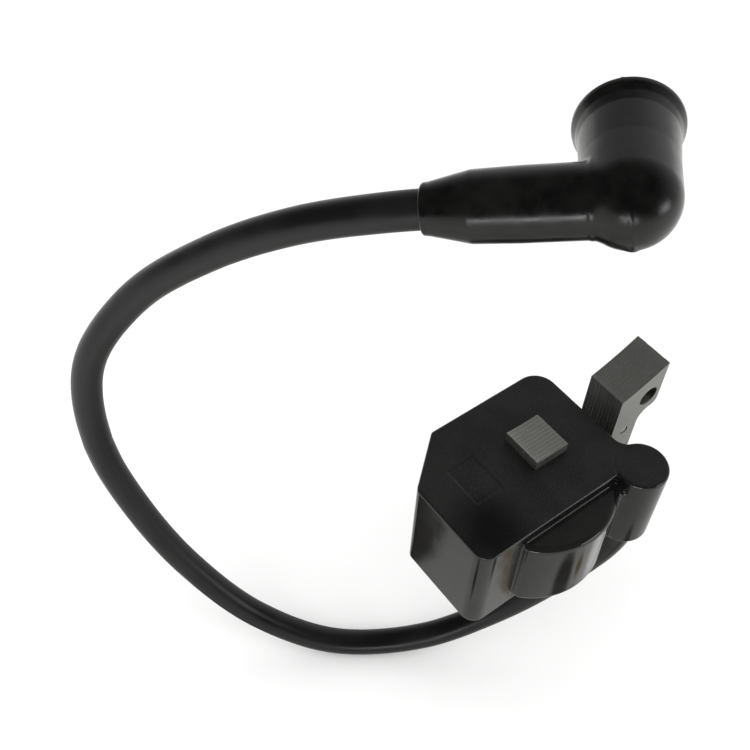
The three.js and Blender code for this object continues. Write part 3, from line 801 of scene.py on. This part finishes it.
def potting_shape(x, y, z):
    """The cast closing layer, drawn up a little where it wets the walls."""
    inside = outline_distance(HOUSE_OUTLINE, x, y) + WALL
    meniscus = MENISCUS["rise"] * np.exp(-np.abs(inside) / MENISCUS["width"])
    bottom = -HEIGHT + MENISCUS["level"] - meniscus
    layer = np.maximum(np.maximum(inside - POTTING_BITE, bottom - z), z - POTTING_TOP)
    layer = np.maximum(layer, -sleeve(x, y, POTTING_GAP))
    return np.maximum(layer, -ring(x, y, TOWER_X, TOWER_Y, TOWER_RADIUS - POTTING_BITE))


def housing():
    """The shell and the potting that closes it."""
    low = (-HALF_X, CROWN_Y - CROWN_RADIUS, -HEIGHT)
    high = (TOWER_X + TOWER_RADIUS, HALF_Y, 0)
    shell = moulded(
        "housing_shell", housing_shape, low, high,
        step=0.25, place=BLOCK_PLACE, slot="housing_plastic",
    )
    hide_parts("coil_housing")
    fill = moulded(
        "potting_fill", potting_shape, low, (HALF_X, HALF_Y, POTTING_TOP),
        step=0.4, place=BLOCK_PLACE, slot="potting_epoxy",
    )
    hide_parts("potting_resin")


# ---------------------------------------------------------------- core

def circle(x, y, radius, sides=32):
    """An outline of points on a circle."""
    angles = np.arange(sides) / sides * 2 * math.pi
    return np.stack([x + radius * np.cos(angles), y + radius * np.sin(angles)], 1)


def core():
    """Punched plates, each a hair out of line with the next."""
    holes = [circle(BOLT_X, height, BOLT_RADIUS, sides=48) for height in BOLT_HEIGHTS]
    holes += [circle(x, z, RIVET_RADIUS, sides=24) for x, z in RIVETS]
    outline = lamination_outline()
    upright = Matrix.Rotation(math.pi / 2, 4, "X")
    plates = sorted(name for name in frame["nodes"] if name.startswith("core_lamination"))
    for i, node in enumerate(plates):
        low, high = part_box(node)
        middle = (low.y + high.y) / 2 / MM
        drift = PLATE_DRIFT * math.sin(PLATE_PHASE * i)
        place = Matrix.Translation((BLOCK.x + drift, middle, BLOCK.z - abs(drift))) @ upright
        thickness = (high.y - low.y) / MM + PLATE_SPREAD
        name = f"core_plate_{i + 1:02d}"
        plate = sheet(name, [outline, *holes], thickness, PLATE_EDGE, place, slot="core_steel")
        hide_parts(node)


def rivets():
    """Rivets along Y, peened to low domes just under the outer plates' faces."""
    end = [(STACK_HALF - RIVET_SUNK - back, radius) for back, radius in RIVET_END]
    stations = [(-y, radius) for y, radius in end] + end[::-1]
    path = [(0, y, 0) for y, _ in stations]
    points, faces = swept(path, [radius for _, radius in stations], sides=24)
    for i, (x, z) in enumerate(RIVETS):
        place = Matrix.Translation(BLOCK + Vector((x, 0, z)))
        rivet = piece(f"peened_rivet_{i + 1}", points, faces, place, slot="rivet_steel")
        rivet.data.set_sharp_from_angle(angle=math.radians(50))
        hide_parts(f"core_rivet_{i + 1}")


# ---------------------------------------------------------------- terminals

def blade(name, node, hole_rise, hole_radius):
    """A pressed blade that is thin along X, with cut lower corners and a hole near its lower end."""
    low, high = (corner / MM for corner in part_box(node))
    size = high - low
    middle = (low + high) / 2
    half = size.y / 2
    inset, rise, corner, edge = 1.0, 1.6, 0.3, 0.1
    outline = rounded([
        (inset - half, low.z, corner),
        (half - inset, low.z, corner),
        (half, low.z + rise, corner),
        (half, high.z, corner),
        (-half, high.z, corner),
        (-half, low.z + rise, corner),
    ], steps_per_turn=48)
    hole = circle(0, low.z + hole_rise, hole_radius)
    turn = Matrix.Rotation(math.pi / 2, 4, "Z") @ Matrix.Rotation(math.pi / 2, 4, "X")
    place = Matrix.Translation((middle.x, middle.y, 0)) @ turn
    made = sheet(name, [outline, hole], size.x, edge, place, slot="tinned_brass")
    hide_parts(node)


# ---------------------------------------------------------------- lead

def centre_points(node, ring_reach=2.5):
    """Centres of the rings that a thin round CAD bar is made of, in mm."""
    corners = np.array([v.co for v in frame["nodes"][node].data.vertices], float) / MM
    centres = []
    free = np.ones(len(corners), bool)
    while free.any():
        seed = corners[np.argmax(free)]
        near = free & (np.linalg.norm(corners - seed, axis=1) < ring_reach)
        unique = np.unique(np.round(corners[near], 3), axis=0)
        centres.append(unique.mean(0))
        free &= ~near
    return centres


def ordered(points, start):
    """Points in the order met by walking to the nearest one from start."""
    left = [np.array(p) for p in points]
    path = [np.array(start)]
    while left:
        gaps = [np.linalg.norm(p - path[-1]) for p in left]
        path.append(left.pop(int(np.argmin(gaps))))
    return path[1:]


def between(a, b, c, d, t):
    """The point at t of the way from b to c, on the Catmull-Rom curve through four points."""
    line = (c - a) * t
    square = (2 * a - 5 * b + 4 * c - d) * t ** 2
    cube = (3 * b - a - 3 * c + d) * t ** 3
    return 0.5 * (2 * b + line + square + cube)


def smooth_path(points, spacing):
    """A Catmull-Rom curve through points, resampled evenly."""
    points = np.array(points)
    padded = np.vstack([2 * points[0] - points[1], points, 2 * points[-1] - points[-2]])
    shares = np.linspace(0, 1, 12, endpoint=False)
    fine = [between(*padded[i:i + 4], t) for i in range(len(points) - 1) for t in shares]
    fine = np.array([*fine, points[-1]])
    length = np.concatenate([[0], np.cumsum(np.linalg.norm(np.diff(fine, axis=0), axis=1))])
    steps = np.linspace(0, length[-1], round(length[-1] / spacing) + 1)
    return np.stack([np.interp(steps, length, fine[:, i]) for i in range(3)], 1)


def lead():
    """One lead in place of the two CAD halves."""
    top = BLOCK + Vector((TOWER_X, TOWER_Y, 0))
    centres = ordered(centre_points("lead_core_root") + centre_points("lead_core_end"), top)
    first = [top.x, top.y, top.z + LEAD_START]
    path = smooth_path([first, *centres], spacing=0.8)
    points, faces = swept(path, LEAD_RADIUS, sides=72)
    jacket = piece("lead_jacket", points, faces, body=None, slot="lead_pvc")
    pivot = np.array(joints["lead_flex"]["pos_m"]) / MM
    nearest = int(np.argmin(np.linalg.norm(path - pivot, axis=1)))
    way = path[nearest + 1] - path[nearest - 1]
    way /= np.linalg.norm(way)
    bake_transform(jacket)
    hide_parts("lead_jacket_root", "lead_jacket_end")


# ---------------------------------------------------------------- boot

def profile(h, stations):
    """A radius at h, from stations of (h, radius) along an axis."""
    return np.interp(h, *zip(*stations))


def leaned(x, y):
    """Distances across and along the mouth's axis, which leans back from square to the barrel."""
    c, s = math.cos(mouth_lean), math.sin(mouth_lean)
    return (x - ELBOW) * c + y * s, y * c - (x - ELBOW) * s


def boot_outside(x, y, z, across, along):
    """The tapered barrel with its collar, the ball with its gate mark, and the head with its seam."""
    collar = COLLAR["height"] * np.exp(-((x - ELBOW + COLLAR["back"]) / COLLAR["width"]) ** 2)
    tube = np.hypot(y, z) - profile(x, BARREL) - collar
    barrel = cut(tube, np.minimum(x, ELBOW - x), BOOT_SOFT["lip"])
    gate_gap = across ** 2 + (along + GATE["off"]) ** 2 + (z + GATE["off"]) ** 2
    gate = GATE["height"] * np.exp(-gate_gap / GATE["spread"])
    ball = np.sqrt(across ** 2 + along ** 2 + z ** 2) - BALL_RADIUS - gate
    head = cut(np.hypot(across, z) - profile(along, HEAD), RIM - along, RIM_EDGE)
    head = np.maximum(head, -along)
    seam_gap = across + PART_LINE["lean"] * z
    seam = PART_LINE["height"] * np.exp(-(seam_gap / PART_LINE["width"]) ** 2)
    return joined(np.minimum(ball, head) - seam, barrel, BOOT_SOFT["elbow"])


def boot_shape(x, y, z):
    """The elbow boot, bored for the lead from its lip and for the plug from its mouth."""
    across, along = leaned(x, y)
    body = boot_outside(x, y, z, across, along)
    lead_way = np.maximum(np.hypot(y, z) - LEAD_RADIUS - LEAD_GAP, x - ELBOW)
    lead_way = np.maximum(lead_way, -x - PAST_LIP)
    flare = [(RIM - MOUTH_FLARE["depth"], PLUG_BORE), (RIM, PLUG_BORE + MOUTH_FLARE["width"])]
    bore = np.hypot(across, z) - profile(along, flare)
    mouth = cut(bore, along - BORE_FLOOR, BOOT_SOFT["bore_floor"])
    return cut(cut(body, lead_way, BOOT_SOFT["lead"]), mouth, BOOT_SOFT["mouth"])


def boot():
    """The elbow boot, drawn in a box with a little room about the lip, the gate and the flange."""
    half = HEAD[-1][1] + 0.45
    low = (-0.1, -BALL_RADIUS - 0.3, -half)
    high = (ELBOW + half, RIM + 0.1, half)
    made = moulded("elbow_boot", boot_shape, low, high, step=0.22, slot="boot_rubber", **ON_BOOT)
    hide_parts("plug_boot")


def spring():
    """A conical coil in the mouth, whose inner end runs along the barrel's axis into the lead."""
    turns, pitch, wire = 4, 2.2, 0.45
    narrow, wide, leg = 1.6, 3.8, 8.4
    straight = [(-leg * (1 - t), 0.0, 0.0) for t in np.linspace(0, 0.75, 8)]
    coil = []
    for angle in np.linspace(0.25, turns * 2 * math.pi, turns * 40):
        reach = min(wide, narrow + angle / math.pi)
        coil.append((reach * math.sin(angle), pitch * angle / (2 * math.pi), reach * math.cos(angle)))
    path = smooth_path(np.array([*straight, *coil]) + [ELBOW, 0, 0], spacing=0.25)
    points, faces = swept(path, wire, sides=12)
    made = piece("contact_spring", points, faces, slot="spring_steel", **ON_BOOT)
    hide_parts("plug_spring")


# ---------------------------------------------------------------- stage, light and camera

def floor():
    """Plain pale paper; its spots, painted reflections, are seen by glossy rays only."""
    paint = Paint("floor_paper")
    cloud = paint.noise(60.0, 3.0)
    colour = paint.mix(cloud, (0.86, 0.86, 0.855), (0.9, 0.9, 0.895))
    # painted reflections: darker near the part, with dark, brown and bright spots, seen by glossy rays only
    mirrored = paint.mix(paint.spot(0, 0, 90, 200), GLOSS_FAR, GLOSS_NEAR)
    full, faded = 0.6, 1.25
    for spots, tone in ((BRIGHT_SPOTS, GLOSS_FAR), (BROWN_SPOTS, GLOSS_BROWN), (DARK_SPOTS, GLOSS_DARK)):
        for x, y, radius in spots:
            share = paint.spot(x, y, full * radius, faded * radius)
            mirrored = paint.mix(share, mirrored, tone)
    in_gloss = paint.nodes.new("ShaderNodeLightPath").outputs["Is Glossy Ray"]
    material = paint.finish(paint.mix(in_gloss, colour, mirrored), 0.7)
    size = 4000.0
    height = cad_low.z / MM - FLOOR_GAP
    points = [(x * size, y * size, height) for x, y in ((-1, -1), (1, -1), (1, 1), (-1, 1))]
    made = piece("floor", points, [[0, 1, 2, 3]], body=None)
    made.data.materials.append(material)


def softbox(name, way, size, power, mirrored):
    """A rectangular lamp that faces the object from a direction; only a mirrored one shows in gloss."""
    lamp = bpy.data.lights.new(name, "AREA")
    lamp.shape = "RECTANGLE"
    lamp.size, lamp.size_y = size
    lamp.energy = power
    holder = bpy.data.objects.new(name, lamp)
    way = Vector(way).normalized()
    holder.location = (cad_low + cad_high) / 2 + way * LAMP_DISTANCE
    holder.rotation_euler = (-way).to_track_quat("-Z", "Y").to_euler()
    holder.visible_camera = False
    holder.visible_glossy = mirrored
    bpy.context.scene.collection.objects.link(holder)


def studio_world():
    """An even dome gives the light; gloss sees a dark room, paler to the right and downward."""
    world = bpy.data.worlds.new("studio")
    bpy.context.scene.world = world
    world.use_nodes = True
    nodes, links = world.node_tree.nodes, world.node_tree.links
    way = nodes.new("ShaderNodeVectorMath")
    way.operation = "DOT_PRODUCT"
    way.inputs[1].default_value = ROOM_WAY
    links.new(nodes.new("ShaderNodeTexCoord").outputs["Generated"], way.inputs[0])
    room = nodes.new("ShaderNodeMapRange")
    room.interpolation_type = "SMOOTHSTEP"
    for socket, number in zip(list(room.inputs)[1:5], (*ROOM_RANGE, ROOM_DARK, ROOM_PALE)):
        socket.default_value = number
    links.new(way.outputs["Value"], room.inputs["Value"])
    seen = nodes.new("ShaderNodeMix")
    links.new(nodes.new("ShaderNodeLightPath").outputs["Is Glossy Ray"], seen.inputs["Factor"])
    seen.inputs["A"].default_value = DOME
    links.new(room.outputs["Result"], seen.inputs["B"])
    links.new(seen.outputs["Result"], nodes["Background"].inputs["Strength"])
    nodes["Background"].inputs["Color"].default_value = (1.0, 1.0, 1.0, 1.0)


def light():
    """The dome and three lamps: a soft key, and two that gloss shows as highlights."""
    studio_world()
    softbox("key", way=(-0.45, -0.2, 1.0), size=(0.8, 0.8), power=3.0, mirrored=False)
    softbox("edge", way=(0.45, -0.87, 0.17), size=(0.35, 0.2), power=1.3, mirrored=True)
    softbox("spark", way=(-0.714, -0.69, -0.03), size=(0.5, 0.04), power=1.8, mirrored=True)
    bpy.context.scene.view_settings.view_transform = "Standard"


def camera():
    """The picture's view: from the near left and above, slightly rolled."""
    azimuth, elevation, roll = math.radians(-39.37), math.radians(50.08), math.radians(3.3)
    distance, right, up, focal = 242.3, -4.0, 10.3, 50.9
    flat = math.cos(elevation)
    back = Vector((math.sin(azimuth) * flat, -math.cos(azimuth) * flat, math.sin(elevation)))
    level = Vector((math.cos(azimuth), math.sin(azimuth), 0))
    turn = Matrix((level, back.cross(level), back)).transposed() @ Matrix.Rotation(roll, 3, "Z")
    data = bpy.data.cameras.new("view")
    data.lens = focal
    data.clip_start, data.clip_end = 0.01, 20.0
    made = bpy.data.objects.new("view", data)
    shift = turn @ Vector((right, up, distance)) * MM
    made.matrix_world = Matrix.Translation((cad_low + cad_high) / 2 + shift) @ turn.to_4x4()
    bpy.context.scene.collection.objects.link(made)
    bpy.context.scene.camera = made


# ---------------------------------------------------------------- assembly

dress_frame()
housing()
core()
rivets()
blade("stop_blade", "stop_terminal", hole_rise=2.6, hole_radius=0.8)
blade("ground_blade", "ground_tab", hole_rise=1.4, hole_radius=0.5)
lead()
boot()
spring()
floor()
light()
camera()
